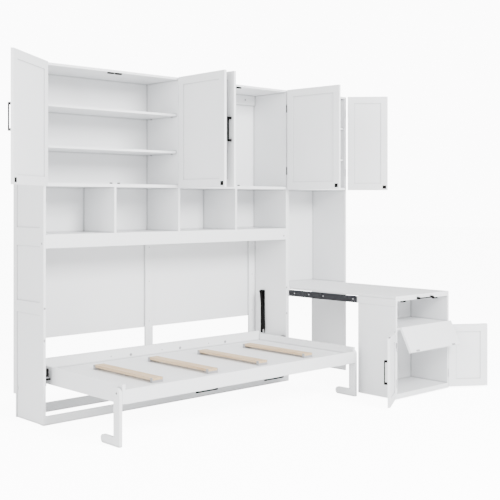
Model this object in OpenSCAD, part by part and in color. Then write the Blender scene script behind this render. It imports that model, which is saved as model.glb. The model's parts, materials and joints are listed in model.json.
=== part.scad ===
// White wall bed cabinet with a hutch above it, and a side bay with a pull-out desk.
// The bed is folded down, the doors stand open and the desk is drawn out.

/* [Cabinet] */
// Outer width of the bed cabinet
bed_w = 2080; // [2040:1:2120]
// Outer width of the desk bay
bay_w = 670; // [640:1:700]
// Depth of the cabinet, front edge to wall
case_d = 395; // [390:1:420]
// Height of the lower cabinet
lower_h = 1167; // [1160:1:1190]
// Height of the hutch above it
hutch_h = 1108; // [1090:1:1130]
// Thickness of the sides, tops and dividers
board_t = 16; // [15:0.5:18]
// Thickness of the back panels
back_t = 6; // [4:0.5:8]
// Distance from the wall to the back panels
back_inset = 8; // [5:0.5:12]
// Depth of the notch for the room's skirting board
notch_d = 32; // [20:1:40]
// Height of the notch for the room's skirting board
notch_h = 150; // [120:1:170]

/* [Frames] */
// Width of the stiles and rails that frame a side
stile_w = 46; // [40:1:55]
// Depth of the recessed fields of doors and sides
recess = 5; // [2:0.5:6]
// Height of the rail between a side's two fields
mid_rail_h = 76; // [60:1:90]
// Underside of the upper recessed field of the lower side
field_z = 765; // [740:1:790]
// Height of the front rail under the hutch
header_h = 59; // [50:1:65]
// Thickness of the rails
rail_t = 20; // [18:0.5:24]
// Height of the plinth rail between the sides
plinth_h = 56; // [50:1:58]
// Width of the posts and rails of the bed back
post_w = 64; // [55:1:75]
// Underside of the bed back panels
bed_back_z = 488; // [470:1:510]

/* [Hutch] */
// Thickness of the hutch base board
base_t = 28; // [20:1:30]
// Height of the open cubbies
cubby_h = 304; // [290:1:315]
// Thickness of the shelf above the cubbies
door_shelf_t = 21; // [18:1:24]
// Thickness of the shelves behind the doors
shelf_t = 15; // [13:0.5:18]
// Set-back of the shelves from the front
shelf_back = 20; // [10:1:40]
// Top of the lower shelf, above the shelf under the doors
shelf_up = 237; // [200:1:250]
// Top of the upper shelf, below the hutch's top board
shelf_down = 241; // [210:1:260]
// Height of the rail screwed to the wall
wall_rail_h = 80; // [60:1:90]
// Distance between the two wall screws
wall_screw_gap = 800; // [600:1:900]
// Radius of a wall screw hole
wall_screw_r = 4; // [3:0.1:5]

/* [Doors] */
// Thickness of a door
door_t = 18; // [16:0.5:20]
// Width of a door's frame
door_frame = 55; // [48:1:62]
// Gap round a door
door_gap = 1.5; // [1:0.1:2]
// Turn of the first door from closed
door_1_open = 140; // [134:1:142]
// Turn of the second door from closed
door_2_open = 89; // [85:1:90]
// Turn of the third door from closed
door_3_open = 84; // [76:1:85]
// Turn of the fourth door from closed
door_4_open = 95; // [92:1:97]
// Turn of the fifth door from closed
door_5_open = 70; // [66:1:74]
// Turn of the sixth door from closed
door_6_open = 132; // [128:1:136]
// Width of a strike plate on a door
strike_w = 30; // [20:1:34]
// Height of a strike plate on a door
strike_h = 28; // [18:1:32]
// Distance of a hutch hinge from the door's end
hinge_up = 145; // [110:1:160]
// Height of a hinge's leaf
hinge_h = 60; // [50:1:70]
// Distance of a hutch door's hinge edge from the cabinet's edge
edge_in = 2; // [1.5:0.1:3]
// Length of a door handle
handle_l = 165; // [150:1:175]
// Thickness of a handle's bar
handle_t = 7; // [6:0.5:10]
// Width of a handle's feet
handle_foot = 15; // [12:0.5:16]
// Reach of a handle out of its door
handle_out = 28; // [24:1:32]
// Distance of a handle from the door's free edge
handle_in = 30; // [26:1:36]

/* [Bed deck] */
// Thickness of a deck side board
deck_board_t = 20; // [18:0.5:21]
// Room over the deck's front when it is folded up
deck_top_gap = 8; // [6:1:20]
// Room between the deck's tail and the plinth rail
deck_tail_gap = 4; // [3:0.5:12]
// Underside of the deck, above the floor
deck_z = 245; // [243:1:255]
// Height of a deck side board
side_board_h = 112; // [105:1:120]
// Height of the deck's front rail
front_rail_h = 81; // [75:1:90]
// Height of the deck's rear rail
rear_rail_h = 133; // [120:1:135]
// Underside of the white deck panel above the deck's underside
panel_up = 52; // [48:1:56]
// Thickness of the white deck panel
panel_t = 9; // [6:0.5:12]
// Gap between the deck and the cabinet's sides
deck_gap = 50; // [46:1:54]
// Width of a slat
slat_w = 72; // [60:1:85]
// Thickness of a slat
slat_t = 15; // [12:0.5:18]
// Number of slats
slat_n = 4; // [2:1:5]
// Distance of the slats' ends from the deck's front rail
slat_in = 115; // [90:1:140]
// Length of a slat holder
holder_l = 22; // [18:1:30]
// Height of a slat holder's floor above the panel
holder_h = 15; // [8:1:18]
// Length of a deck pull
deck_handle_l = 170; // [160:1:200]
// Distance between the two deck pulls
deck_handle_gap = 570; // [500:1:700]
// Distance of a deck pull from the deck's front
deck_handle_in = 106; // [80:1:160]
// Reach of a deck pull below the deck
deck_handle_out = 40; // [30:1:44]
// Distance between the slats' middles
slat_gap = 425; // [390:1:450]
// Height of the deck's hinge pin above the floor
pivot_z = 281; // [276:1:284]
// Distance of the deck's hinge pin behind the front
pivot_y = 37; // [35:1:39]
// Radius of the deck's hinge pin
pivot_r = 6; // [5:0.5:8]
// Running clearance of pins, on the radius
run_gap = 0.08; // [0.02:0.01:0.1]
// Distance of a strut's upper pin behind the front
strut_y = 270; // [265:1:280]
// Height of a strut's upper pin above the floor
strut_top = 685; // [670:1:700]
// Length of a strut's tube
tube_l = 290; // [270:1:300]
// Radius of a strut's tube
tube_r = 11; // [10:0.5:12]
// Radius of a strut's rod
rod_r = 5; // [4:0.5:6]
// Thickness of a black steel plate
plate_t = 5; // [4:0.5:6]

/* [Legs] */
// Thickness of a leg
leg_t = 20; // [16:0.5:21]
// Width of a leg
leg_w = 61; // [50:1:70]
// Length of a leg's foot
foot_l = 197; // [180:1:210]
// Height of a leg's foot
foot_h = 50; // [40:1:60]

/* [Desk] */
// Height of the desk top
desk_h = 734; // [720:1:745]
// Thickness of the desk boards
desk_t = 18; // [16:0.5:20]
// Distance of the desk's front edge from the cabinet's front
desk_out = 1085; // [1070:1:1120]
// Gap between the desk chest and the bay's sides
slide_gap = 13; // [12.5:0.1:14]
// Height of a slide
slide_h = 52; // [46:1:54]
// Distance of a slide's fixed channel behind the front
channel_y = 8; // [5:0.5:8]
// Length of one slide member
slide_l = 372; // [365:1:374]
// Depth of the desk chest
chest_d = 359; // [345:1:362]
// Underside of the desk chest's bottom board, above the floor
chest_z = 30; // [28:1:36]
// Underside of the chest's sides and skirting, above the floor
chest_low = 10; // [6:1:12]
// Underside of the chest's doors, above the floor
chest_door_z = 16; // [10:1:22]
// Height of the chest's doors
chest_door_h = 466; // [450:1:475]
// Height of the flap's hinge above the floor
flap_z = 510; // [495:1:525]
// Height of the flap
flap_h = 188; // [180:1:195]
// Turn of the flap from closed
flap_open = 152; // [148:1:155]
// Turn of the chest's left door from closed
chest_left_open = 147; // [142:1:150]
// Turn of the chest's right door from closed
chest_right_open = 144; // [140:1:148]
// Radius of a castor wheel
wheel_r = 12.5; // [11:0.5:13]
// Width of a castor wheel
wheel_w = 14; // [12:0.5:18]

/* [Hidden] */
$fn = 48;
cut = 1;
SHELL = [0.94, 0.94, 0.93];
BLACK = [0.08, 0.08, 0.08];
SLIDE = [0.30, 0.31, 0.33];
STEEL = [0.75, 0.75, 0.76];
SLAT = [0.86, 0.74, 0.58];
free_gap = 0.4;
meet_gap = 1;
rear_rail_up = 6;
hutch_field_up = 69;
strike_in = 12;
edge_strike = [44, 10];

total_w = bed_w + bay_w;
total_h = lower_h + hutch_h;
bed_in = [board_t, bed_w - board_t];
bay_in = [bed_w + board_t, total_w - board_t];
base_top = lower_h + base_t;
door_z = base_top + cubby_h;
door_shelf_top = door_z + door_shelf_t;
top_z = total_h - board_t;
back_y = case_d - back_inset - back_t;
middle_x = bed_w / 2;
quarter = bed_w / 4;
notch_y = case_d - notch_d;
header_z = lower_h - header_h;

door_h = total_h - door_z;
door_axis_y = -door_gap - door_t;
flat_t = 1;
hinge_t = 1;
hinge_w = 12;
catch = [46, 16, 11];
catch_stop = [14, 12, 8];
catch_apart = 29;
catch_back = 1;

deck_x = [board_t + deck_gap, bed_w - board_t - deck_gap];
inner_x = [deck_x[0] + deck_board_t, deck_x[1] - deck_board_t];
panel_z = deck_z + panel_up;
panel_top = panel_z + panel_t;
front_y = pivot_y - (header_z - deck_top_gap - pivot_z);
tail_reach = pivot_z - plinth_h - deck_tail_gap;
tail_y = pivot_y + sqrt(tail_reach * tail_reach - (pivot_z - deck_z) * (pivot_z - deck_z));
slat_y = [front_y + deck_board_t + slat_in, pivot_y - deck_board_t];
slat_z = panel_top + holder_h;
slat_start = middle_x - slat_gap * (slat_n - 1) / 2;
holder_t = 3;

leg_gap = 1;
leg_x = [deck_x[0] - leg_t - leg_gap, deck_x[1] + leg_gap];
leg_pin_y = front_y + leg_w / 2;
leg_pin_z = deck_z + leg_w;
leg_pin_r = 6;
heel = 5;

strut_pin_r = 5;
strut_gap = 4;
strut_side = plate_t + strut_gap + tube_r;
strut_x = [bed_in[0] + strut_side, bed_in[1] - strut_side];
tail_pin_in = 20;
tail_pin_up = 31;
tail_pin = [tail_y - tail_pin_in, pivot_z + tail_pin_up];
tail_pin_r = 5;
eye_r = 9;
eye_t = 12;
strut_lean = atan2(strut_y - tail_pin[0], strut_top - tail_pin[1]);
strut_len = norm([strut_y - tail_pin[0], strut_top - tail_pin[1]]);
strut_plate_down = 330;
strut_plate_up = 12;
strut_plate_z = [strut_top - strut_plate_down, strut_top + strut_plate_up];
strut_plate_w = 48;
pivot_plate = 34;
guard_up = 23;
guard_z = pivot_z + guard_up;
guard_h = 49;
guard_t = 22;
guard_w = 40;

chest_x = [bay_in[0] + slide_gap, bay_in[1] - slide_gap];
chest_w = chest_x[1] - chest_x[0];
chest_front = -desk_out;
chest_back = chest_front + chest_d;
chest_board = 16;
chest_top = desk_h - desk_t - free_gap;
leaf_in = 1;
leaf_x = [chest_x[0] + leaf_in, chest_x[1] - leaf_in];
leaf_l = (desk_out - free_gap) / 2;
leaf_y = -free_gap;
slide_down = 1;
slide_z = desk_h - desk_t - slide_h - slide_down;
member_gap = 0.5;
member_t = (slide_gap - 3 * member_gap) / 4;
chest_member_in = 5;
chest_member_y = chest_front + chest_member_in;
member_step = (channel_y - chest_member_y) / 3;
front_axis_y = chest_front - door_gap - door_t;
chest_axis_y = chest_front - door_gap;
chest_door_gap = 4;
chest_door_w = chest_w / 2 - chest_door_gap;
flap_in = 20;
pull_off = 12;
pull_middle = (chest_x[0] + chest_x[1]) / 2 + pull_off;
catch_in = 68;
catch_off = 114;
chest_shelf_z = flap_z - chest_board;
wheel_in = 38;
fork_t = 3;
fork_w = 14;
pad_t = 2;
wheel_gap = 1;
axle_r = 3;

// The part's own frame: on the floor, at the middle of the bed cabinet's plinth rail.
module at_frame() {
    translate([-bed_w / 2, -rail_t / 2, 0]) children();
}

// A box from its lowest to its highest corner.
module block(low, high) {
    translate(low) cube(high - low);
}

// A rod along X between two places.
module rod_x(x0, x1, y, z, r) {
    translate([x0, y, z]) rotate([0, 90, 0]) cylinder(r = r, h = x1 - x0);
}

// An upright side board, with the skirting notch, and recessed fields in one face.
module side_board(x, z, notched, face, fields) {
    difference() {
        block([x, 0, z[0]], [x + board_t, case_d, z[1]]);
        if (notched)
            block([x - cut, notch_y, z[0] - cut],
                [x + board_t + cut, case_d + cut, z[0] + notch_h]);
        for (field = fields)
            block([face < 0 ? x - cut : x + board_t - recess, stile_w, field[0]],
                [face < 0 ? x + recess : x + board_t + cut, case_d - stile_w, field[1]]);
    }
}

lower_fields = [[-cut, field_z - mid_rail_h], [field_z, lower_h - stile_w]];
hutch_fields = [[lower_h + hutch_field_up, total_h - stile_w]];

module bed_left_side() {
    color(SHELL) at_frame() side_board(0, [0, lower_h], true, -1, lower_fields);
}

module bed_right_side() {
    color(SHELL) at_frame()
        side_board(bed_w - board_t, [0, lower_h], true, -1, []);
}

module bay_left_side() {
    color(SHELL) at_frame() side_board(bed_w, [0, lower_h], true, 1, []);
}

module bay_right_side() {
    color(SHELL) at_frame()
        side_board(total_w - board_t, [0, lower_h], true, 1, lower_fields);
}

module bed_hutch_sides() {
    color(SHELL) at_frame() {
        side_board(0, [lower_h, total_h], false, -1, hutch_fields);
        side_board(bed_w - board_t, [lower_h, total_h], false, -1, []);
    }
}

module bay_hutch_sides() {
    color(SHELL) at_frame() {
        side_board(bed_w, [lower_h, total_h], false, 1, []);
        side_board(total_w - board_t, [lower_h, total_h], false, 1, hutch_fields);
    }
}

module hutch_top_boards() {
    color(SHELL) at_frame() for (span = [bed_in, bay_in])
        block([span[0], 0, top_z], [span[1], case_d, total_h]);
}

module hutch_base_board() {
    color(SHELL) at_frame()
        block([bed_in[0], 0, lower_h], [bed_in[1], back_y, base_top]);
}

module hutch_door_shelves() {
    color(SHELL) at_frame() for (span = [bed_in, bay_in])
        block([span[0], 0, door_z], [span[1], back_y, door_shelf_top]);
}

// Three dividers between the cubbies, and the partition between the upper bays.
module hutch_dividers() {
    color(SHELL) at_frame() {
        for (i = [1 : 3])
            block([i * quarter - board_t / 2, 0, base_top],
                [i * quarter + board_t / 2, back_y, door_z]);
        block([middle_x - board_t / 2, 0, door_shelf_top],
            [middle_x + board_t / 2, back_y, top_z]);
    }
}

module upper_shelves() {
    color(SHELL) at_frame()
        for (span = [[bed_in[0], middle_x - board_t / 2], bay_in])
            for (top = [door_shelf_top + shelf_up, top_z - shelf_down])
                block([span[0], shelf_back, top - shelf_t], [span[1], back_y, top]);
}

module back_panels() {
    color(SHELL) at_frame() {
        difference() {
            block([bed_in[0], back_y, lower_h], [bed_in[1], back_y + back_t, top_z]);
            wall_screws();
        }
        block([bay_in[0], back_y, desk_h], [bay_in[1], back_y + back_t, top_z]);
        block([bed_in[0], back_y, bed_back_z],
            [bed_in[1], back_y + back_t, lower_h - free_gap]);
    }
}

module header_rail() {
    color(SHELL) at_frame()
        block([bed_in[0], 0, header_z], [bed_in[1], rail_t, lower_h]);
}

// Posts at the left, the middle and the right, with a rail across the top.
module bed_back_frame() {
    post_z = notch_h + free_gap;
    color(SHELL) at_frame() {
        for (x = [bed_in[0], middle_x - post_w / 2, bed_in[1] - post_w])
            block([x, back_y - board_t, post_z], [x + post_w, back_y, lower_h]);
        for (x = [[bed_in[0] + post_w, middle_x - post_w / 2],
                [middle_x + post_w / 2, bed_in[1] - post_w]])
            block([x[0] + free_gap, back_y - board_t, lower_h - post_w],
                [x[1] - free_gap, back_y, lower_h]);
    }
}

module floor_rails() {
    color(SHELL) at_frame() {
        block([bed_in[0], 0, 0], [bed_in[1], rail_t, plinth_h]);
        block([bed_in[0], notch_y - rail_t, 0], [bed_in[1], notch_y, plinth_h + rear_rail_up]);
    }
}

module desk_shelf() {
    color(SHELL) at_frame()
        block([bay_in[0], 0, desk_h - desk_t],
            [bay_in[1], back_y + back_t, desk_h]);
}

module wall_rail() {
    color(SHELL) at_frame() difference() {
        block([middle_x + board_t / 2, back_y - board_t, top_z - wall_rail_h],
            [bed_in[1], back_y, top_z]);
        wall_screws();
    }
}

// The wall screws' holes, through the rail and the back panel behind it.
module wall_screws() {
    for (side = [-1, 1])
        translate([quarter * 3 + side * wall_screw_gap / 2, back_y + back_t + cut,
            top_z - wall_rail_h / 2])
            rotate([90, 0, 0]) cylinder(r = wall_screw_r, h = board_t + back_t + 2 * cut);
}

// Hinge leaves on the front edges of the sides and of the partition.
module hutch_hinges() {
    edges = [board_t / 2, middle_x, bed_w - board_t / 2, bed_w + board_t / 2,
        total_w - board_t / 2];
    color(STEEL) at_frame() for (x = edges)
        for (z = [door_z + hinge_up, total_h - hinge_up])
            translate([x - hinge_w / 2, -hinge_t, z - hinge_h / 2])
                cube([hinge_w, hinge_t, hinge_h]);
}

// Magnet catches under the top and door stops on the shelf, one for each door of a pair.
module hutch_catches() {
    color(BLACK) at_frame()
        for (x = [quarter, quarter * 3, (bay_in[0] + bay_in[1]) / 2])
            for (place = [x - catch_apart, x + catch_apart]) {
                translate([place - catch[0] / 2, catch_back, top_z - catch[2]]) cube(catch);
                translate([place - catch_stop[0] / 2, catch_back, door_shelf_top])
                    cube(catch_stop);
            }
}

// Steel plates on the bed sides: one carries the strut, one the deck's pin.
module bed_side_plates() {
    color(BLACK) at_frame() for (side = [0, 1]) {
        x0 = side == 0 ? bed_in[0] : bed_in[1] - plate_t;
        difference() {
            block([x0, pivot_y - pivot_plate, pivot_z - pivot_plate],
                [x0 + plate_t, pivot_y + pivot_plate, guard_z]);
            rod_x(x0 - cut, x0 + plate_t + cut, pivot_y, pivot_z, pivot_r + run_gap);
        }
        guard = side == 0 ? [x0, x0 + guard_t] : [x0 + plate_t - guard_t, x0 + plate_t];
        block([guard[0], pivot_y - pivot_plate, guard_z],
            [guard[1], pivot_y + guard_w - pivot_plate, guard_z + guard_h]);
        block([x0, strut_y - strut_plate_w / 2, strut_plate_z[0]],
            [x0 + plate_t, strut_y + strut_plate_w / 2, strut_plate_z[1]]);
        stub = side == 0 ? [x0 + plate_t, strut_x[0] + tube_r]
            : [strut_x[1] - tube_r, x0];
        rod_x(stub[0], stub[1], strut_y, strut_top, strut_pin_r);
    }
}

// Where a slide's member starts, across the gap beside the chest.
function member_x(step) = step * (member_t + member_gap);

// One member of each slide, as an upright bar that nests in the one before it.
module slide_bars(step, y0) {
    for (x = [bay_in[0] + member_x(step), bay_in[1] - member_x(step) - member_t])
        block([x, y0, slide_z + step / 2],
            [x + member_t, y0 + slide_l, slide_z + slide_h - step / 2]);
}

module desk_slide_channels() {
    color(SLIDE) at_frame() slide_bars(0, channel_y);
}

module slide_rear_members() {
    color(SLIDE) at_frame() slide_bars(1, channel_y - member_step);
}

module slide_front_members() {
    color(SLIDE) at_frame() slide_bars(2, channel_y - 2 * member_step);
}

// A framed door in its closed place, with its hinge edge on the Z axis.
module door_slab(w, h) {
    difference() {
        block([0, 0, 0], [w, door_t, h]);
        for (y = [-cut, door_t - recess])
            block([door_frame, y, door_frame],
                [w - door_frame, y + recess + cut, h - door_frame]);
    }
}

// A pull with a thin bar on two square feet, out of a face towards -Y, along Z.
module pull(length, out = handle_out) {
    for (z = [0, length - handle_foot])
        block([-handle_foot / 2, -out + handle_t, z],
            [handle_foot / 2, 0, z + handle_foot]);
    block([-handle_t / 2, -out, 0], [handle_t / 2, -out + handle_t, length]);
}

// Handle of a door in its closed place.
module door_pull(w, h) {
    translate([w - handle_in, 0, (h - handle_l) / 2]) pull(handle_l);
}

// Strike plate low on a door's inner face.
module face_strike(w) {
    block([w - strike_w - strike_in, door_t, strike_in],
        [w - strike_in, door_t + flat_t, strike_in + strike_h]);
}

// Strike plate on a door's top edge.
module top_strike(w, h) {
    translate([w - strike_in - edge_strike[0], (door_t - edge_strike[1]) / 2, h])
        cube([edge_strike[0], edge_strike[1], flat_t]);
}

// Puts a closed door's frame at its hinge and turns it open.
module hinged(x, y, z, right, open) {
    translate([x, y, z]) mirror([right ? 1 : 0, 0, 0]) rotate([0, 0, -open]) children();
}

door_x = [edge_in, middle_x - edge_in, middle_x + edge_in, bed_w - edge_in,
    bed_w + edge_in, total_w - edge_in];
door_open = [door_1_open, door_2_open, door_3_open, door_4_open, door_5_open,
    door_6_open];
function width_of(i) = (i < 4 ? middle_x : bay_w) / 2 - edge_in - meet_gap;

module hutch_door(i) {
    color(SHELL) at_frame() hinged(door_x[i], door_axis_y, door_z, i % 2 == 1, door_open[i])
        door_slab(width_of(i), door_h);
}

module hutch_door_handle(i) {
    color(BLACK) at_frame() hinged(door_x[i], door_axis_y, door_z, i % 2 == 1, door_open[i]) {
        door_pull(width_of(i), door_h);
        face_strike(width_of(i));
    }
}

// The panel under the slats, and the face that closes the cabinet when folded up.
module deck_panel() {
    color(SHELL) at_frame() for (z = [deck_z, panel_z])
        block([inner_x[0], front_y + deck_board_t, z],
            [inner_x[1], tail_y - deck_board_t, z + panel_t]);
}

module deck_side_boards() {
    color(SHELL) at_frame() for (side = [0, 1]) {
        x0 = side == 0 ? deck_x[0] : inner_x[1];
        difference() {
            block([x0, front_y, deck_z],
                [x0 + deck_board_t, tail_y, deck_z + side_board_h]);
            rod_x(x0 - cut, x0 + deck_board_t + cut, pivot_y, pivot_z, pivot_r);
            rod_x(x0 - cut, x0 + deck_board_t + cut, leg_pin_y, leg_pin_z, leg_pin_r);
        }
    }
}

module deck_end_rails() {
    color(SHELL) at_frame() {
        block([inner_x[0], front_y, deck_z],
            [inner_x[1], front_y + deck_board_t, deck_z + front_rail_h]);
        block([inner_x[0], tail_y - deck_board_t, deck_z],
            [inner_x[1], tail_y, deck_z + rear_rail_h]);
    }
}

module deck_slats() {
    color(SLAT) at_frame() for (i = [0 : slat_n - 1]) {
        x = slat_start + i * slat_gap;
        block([x - slat_w / 2, slat_y[0], slat_z], [x + slat_w / 2, slat_y[1], slat_z + slat_t]);
    }
}

// A holder under each end of each slat, with lips at its sides.
module slat_holders() {
    color(SLIDE) at_frame() for (i = [0 : slat_n - 1])
        for (y = [slat_y[0], slat_y[1] - holder_l]) {
            x = slat_start + i * slat_gap;
            block([x - slat_w / 2 - holder_t, y, panel_top],
                [x + slat_w / 2 + holder_t, y + holder_l, slat_z]);
            for (side = [-slat_w / 2 - holder_t, slat_w / 2])
                block([x + side, y, slat_z], [x + side + holder_t, y + holder_l, slat_z + slat_t]);
        }
}

// Pulls on the deck's face, which is its underside while it is down.
module deck_handles() {
    color(BLACK) at_frame() for (side = [-1, 1])
        translate([middle_x + side * deck_handle_gap / 2 - deck_handle_l / 2,
            front_y + deck_handle_in, deck_z])
            rotate([90, 0, 90]) pull(deck_handle_l, deck_handle_out);
}

// The deck's hinge pins, the legs' pins, and the stubs that the struts push.
module deck_pivot_pins() {
    stub = deck_gap + board_t - strut_side - bed_in[0] - eye_t / 2 - leg_gap;
    color(BLACK) at_frame() {
        rod_x(bed_in[0] + free_gap, inner_x[0], pivot_y, pivot_z, pivot_r);
        rod_x(inner_x[1], bed_in[1] - free_gap, pivot_y, pivot_z, pivot_r);
        rod_x(leg_x[0], inner_x[0], leg_pin_y, leg_pin_z, leg_pin_r);
        rod_x(inner_x[1], leg_x[1] + leg_t, leg_pin_y, leg_pin_z, leg_pin_r);
        rod_x(deck_x[0] - stub, deck_x[0], tail_pin[0], tail_pin[1], tail_pin_r);
        rod_x(deck_x[1], deck_x[1] + stub, tail_pin[0], tail_pin[1], tail_pin_r);
    }
}

// An L-shaped leg with a round heel and a round toe.
module leg(x) {
    translate([x, 0, 0]) difference() {
        union() {
            block([0, front_y, heel], [leg_t, front_y + leg_w, leg_pin_z]);
            rod_x(0, leg_t, leg_pin_y, leg_pin_z, leg_w / 2);
            rod_x(0, leg_t, front_y + heel, heel, heel);
            block([0, front_y + heel, 0],
                [leg_t, front_y + foot_l - foot_h / 2, foot_h]);
            rod_x(0, leg_t, front_y + foot_l - foot_h / 2, foot_h / 2, foot_h / 2);
        }
        rod_x(-cut, leg_t + cut, leg_pin_y, leg_pin_z, leg_pin_r + run_gap);
    }
}

module leg_left() {
    color(SHELL) at_frame() leg(leg_x[0]);
}

module leg_right() {
    color(SHELL) at_frame() leg(leg_x[1]);
}

// Places a piece that runs down the strut from its upper eye.
module along_strut(side) {
    translate([strut_x[side], strut_y, strut_top]) rotate([-strut_lean, 0, 0]) children();
}

module strut_tubes() {
    color(BLACK) at_frame() for (side = [0, 1]) along_strut(side) difference() {
        union() {
            rotate([0, 90, 0]) cylinder(r = tube_r, h = 2 * tube_r, center = true);
            translate([0, 0, -tube_l - tube_r]) cylinder(r = tube_r, h = tube_l + cut);
        }
        rotate([0, 90, 0])
            cylinder(r = strut_pin_r + run_gap, h = 4 * tube_r, center = true);
        translate([0, 0, -tube_l - tube_r - cut])
            cylinder(r = rod_r + run_gap, h = tube_l - tube_r);
    }
}

// Rods with a flat eye at the lower end.
module strut_rods() {
    color(SLIDE) at_frame() for (side = [0, 1]) along_strut(side) {
        translate([0, 0, -strut_len])
            cylinder(r = rod_r, h = strut_len - 2 * tube_r - 4 * cut);
        translate([0, 0, -strut_len]) rotate([0, 90, 0])
            cylinder(r = eye_r, h = eye_t, center = true);
    }
}

module rear_leaf() {
    color(SHELL) at_frame()
        block([leaf_x[0], leaf_y - leaf_l + free_gap, desk_h - desk_t],
            [leaf_x[1], leaf_y, desk_h]);
}

module front_leaf() {
    color(SHELL) at_frame()
        block([leaf_x[0], chest_front, desk_h - desk_t],
            [leaf_x[1], leaf_y - leaf_l, desk_h]);
}

// Two sides, with the inner slide members screwed to them.
module chest_sides() {
    color(SHELL) at_frame() {
        for (x = [chest_x[0], chest_x[1] - chest_board])
            block([x, chest_front, chest_low], [x + chest_board, chest_back, chest_top]);
        slide_bars(3, chest_member_y);
    }
}

// Three boards between the sides, and a skirting at the front and the back.
module chest_boards() {
    x = [chest_x[0] + chest_board, chest_x[1] - chest_board];
    color(SHELL) at_frame() {
        for (z = [chest_z, chest_shelf_z, chest_top - chest_board])
            block([x[0], chest_front, z], [x[1], chest_back - back_t, z + chest_board]);
        for (y = [chest_front, chest_back - back_t - chest_board])
            block([x[0], y, chest_low], [x[1], y + chest_board, chest_z]);
    }
}

module chest_back_panel() {
    color(SHELL) at_frame()
        block([chest_x[0] + chest_board, chest_back - back_t, chest_z],
            [chest_x[1] - chest_board, chest_back, chest_top]);
}

// A pull on the edge of the chest's top, and two catches under it.
module chest_fittings() {
    top = chest_top - chest_board;
    color(BLACK) at_frame() {
        for (x = [chest_x[0] + catch_in, pull_middle + catch_off])
            translate([x, chest_front + catch_back, top - catch[2]]) cube(catch);
        translate([pull_middle - deck_handle_l / 2, chest_front, top + chest_board / 2])
            rotate([0, 90, 0]) pull(deck_handle_l);
    }
}

castor_x = [chest_x[0] + wheel_in, chest_x[1] - wheel_in];
castor_y = [chest_front + wheel_in, chest_back - wheel_in];

// Forks with their axles, under the chest's corners.
module castor_brackets() {
    fork_half = wheel_w / 2 + wheel_gap + fork_t;
    color(BLACK) at_frame() for (x = castor_x) for (y = castor_y) {
        for (x0 = [x - fork_half, x + fork_half - fork_t])
            block([x0, y - fork_w / 2, wheel_r - fork_w / 3],
                [x0 + fork_t, y + fork_w / 2, chest_z - pad_t]);
        block([x - fork_half, y - fork_w, chest_z - pad_t],
            [x + fork_half, y + fork_w, chest_z]);
        rod_x(x - fork_half, x + fork_half, y, wheel_r, axle_r);
    }
}

module wheels(y) {
    color(BLACK) at_frame() for (x = castor_x) difference() {
        rod_x(x - wheel_w / 2, x + wheel_w / 2, y, wheel_r, wheel_r);
        rod_x(x - wheel_w / 2 - cut, x + wheel_w / 2 + cut, y, wheel_r, axle_r + run_gap);
    }
}

module front_wheels() {
    wheels(castor_y[0]);
}

module rear_wheels() {
    wheels(castor_y[1]);
}

// The flap hangs from its lower edge, outside face down.
module chest_flap() {
    color(SHELL) at_frame() translate([0, front_axis_y, flap_z]) rotate([flap_open, 0, 0])
        block([chest_x[0] + flap_in, 0, 0],
            [chest_x[1] - flap_in, door_t, flap_h]);
}

// Puts a closed chest door at its hinge, by its inner corner, and turns it open.
module chest_hinged(side) {
    open = side == 0 ? chest_left_open : chest_right_open;
    hinged(chest_x[side], chest_axis_y, chest_door_z, side == 1, open)
        translate([0, -door_t, 0]) children();
}

module chest_left_door() {
    color(SHELL) at_frame() chest_hinged(0) door_slab(chest_door_w, chest_door_h);
}

module chest_right_door() {
    color(SHELL) at_frame() chest_hinged(1) door_slab(chest_door_w, chest_door_h);
}

module chest_left_handle() {
    color(BLACK) at_frame() chest_hinged(0) {
        door_pull(chest_door_w, chest_door_h);
        top_strike(chest_door_w, chest_door_h);
    }
}

module chest_right_handle() {
    color(BLACK) at_frame() chest_hinged(1) {
        door_pull(chest_door_w, chest_door_h);
        top_strike(chest_door_w, chest_door_h);
    }
}

bed_left_side();
bed_right_side();
bay_left_side();
bay_right_side();
bed_hutch_sides();
bay_hutch_sides();
hutch_top_boards();
hutch_base_board();
hutch_door_shelves();
hutch_dividers();
upper_shelves();
back_panels();
hutch_catches();
header_rail();
bed_back_frame();
floor_rails();
desk_shelf();
wall_rail();
hutch_hinges();
bed_side_plates();
desk_slide_channels();
hutch_door(0);  // door_1
hutch_door(1);  // door_2
hutch_door(2);  // door_3
hutch_door(3);  // door_4
hutch_door(4);  // door_5
hutch_door(5);  // door_6
hutch_door_handle(0);  // door_1_handle
hutch_door_handle(1);  // door_2_handle
hutch_door_handle(2);  // door_3_handle
hutch_door_handle(3);  // door_4_handle
hutch_door_handle(4);  // door_5_handle
hutch_door_handle(5);  // door_6_handle
deck_panel();
deck_side_boards();
deck_end_rails();
deck_slats();
slat_holders();
deck_handles();
deck_pivot_pins();
leg_left();
leg_right();
strut_tubes();
strut_rods();
rear_leaf();
front_leaf();
chest_sides();
chest_boards();
chest_back_panel();
chest_fittings();
castor_brackets();
chest_flap();
chest_left_door();
chest_right_door();
chest_left_handle();
chest_right_handle();
front_wheels();
rear_wheels();
slide_rear_members();
slide_front_members();
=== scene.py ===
"""Looks for a white wall bed with a hutch, a fold-down deck and a pull-out desk.

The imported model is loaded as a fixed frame. Each class dresses one sub-assembly: it gives the
boards, metal and slats their finishes and adds the small hardware that the construction leaves
out, such as cover caps, hinge leaves, slide ridges and screws.
"""

import json
import logging
import math
from collections.abc import Iterable, Sequence
from dataclasses import dataclass, field
from enum import Enum

import bmesh
import bpy
from mathutils import Euler, Matrix, Vector

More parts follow.
